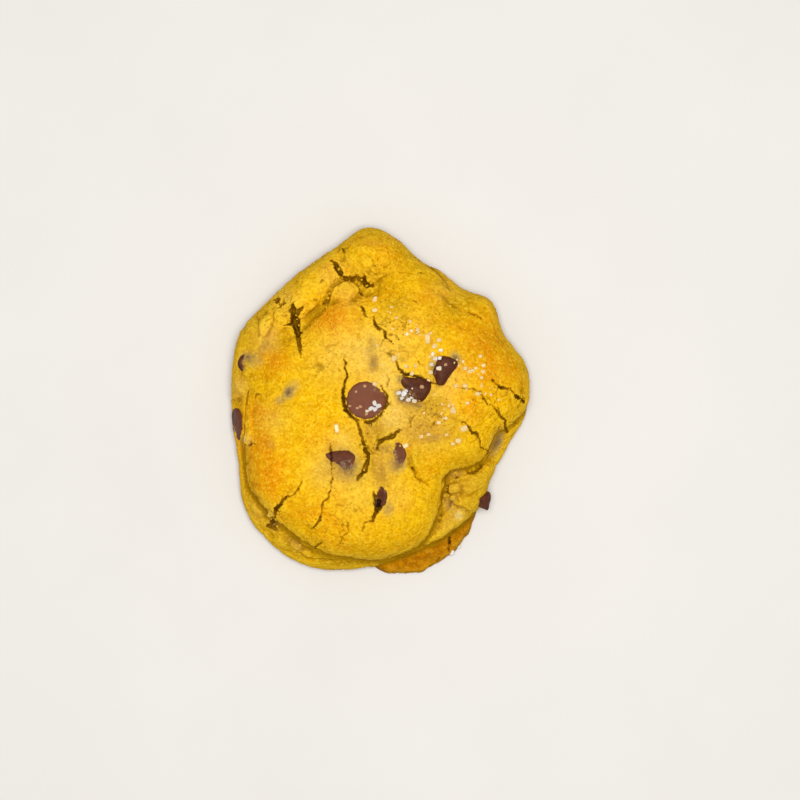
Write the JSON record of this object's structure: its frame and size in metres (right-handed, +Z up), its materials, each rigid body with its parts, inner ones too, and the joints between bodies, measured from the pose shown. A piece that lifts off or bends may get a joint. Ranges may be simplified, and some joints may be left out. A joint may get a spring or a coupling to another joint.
{
  "type": "chocolate chip cookie",
  "caption": "Thick, domed bakery-style chocolate chip cookie with cracked golden dough, a lobed outline, a thin browned foot and half-buried chocolate chips.",
  "frame": {"origin": "middle of the cookie's bounding box in plan, on its flat underside", "axes": "+Z up, out of the domed top; +Y towards the lobe at the far end, along the cookie's longest way; +X to the right"},
  "size_m": [0.0999, 0.1167, 0.0298],
  "materials": {
    "dough": "baked dough: dry, matte, golden yellow, browner on the domes and the foot",
    "chocolate": "milk chocolate, set after baking: satin, with a faint bloom"
  },
  "bodies": {
    "root": {"dough": "dough", "chip_centre": "chocolate", "chip_tumbled": "chocolate", "chip_east": "chocolate", "chip_south_west": "chocolate", "chip_crescent": "chocolate", "chip_cleft": "chocolate", "chip_west_side": "chocolate", "chip_south_east_side": "chocolate", "chip_west_small": "chocolate"}
  },
  "joints": []
}
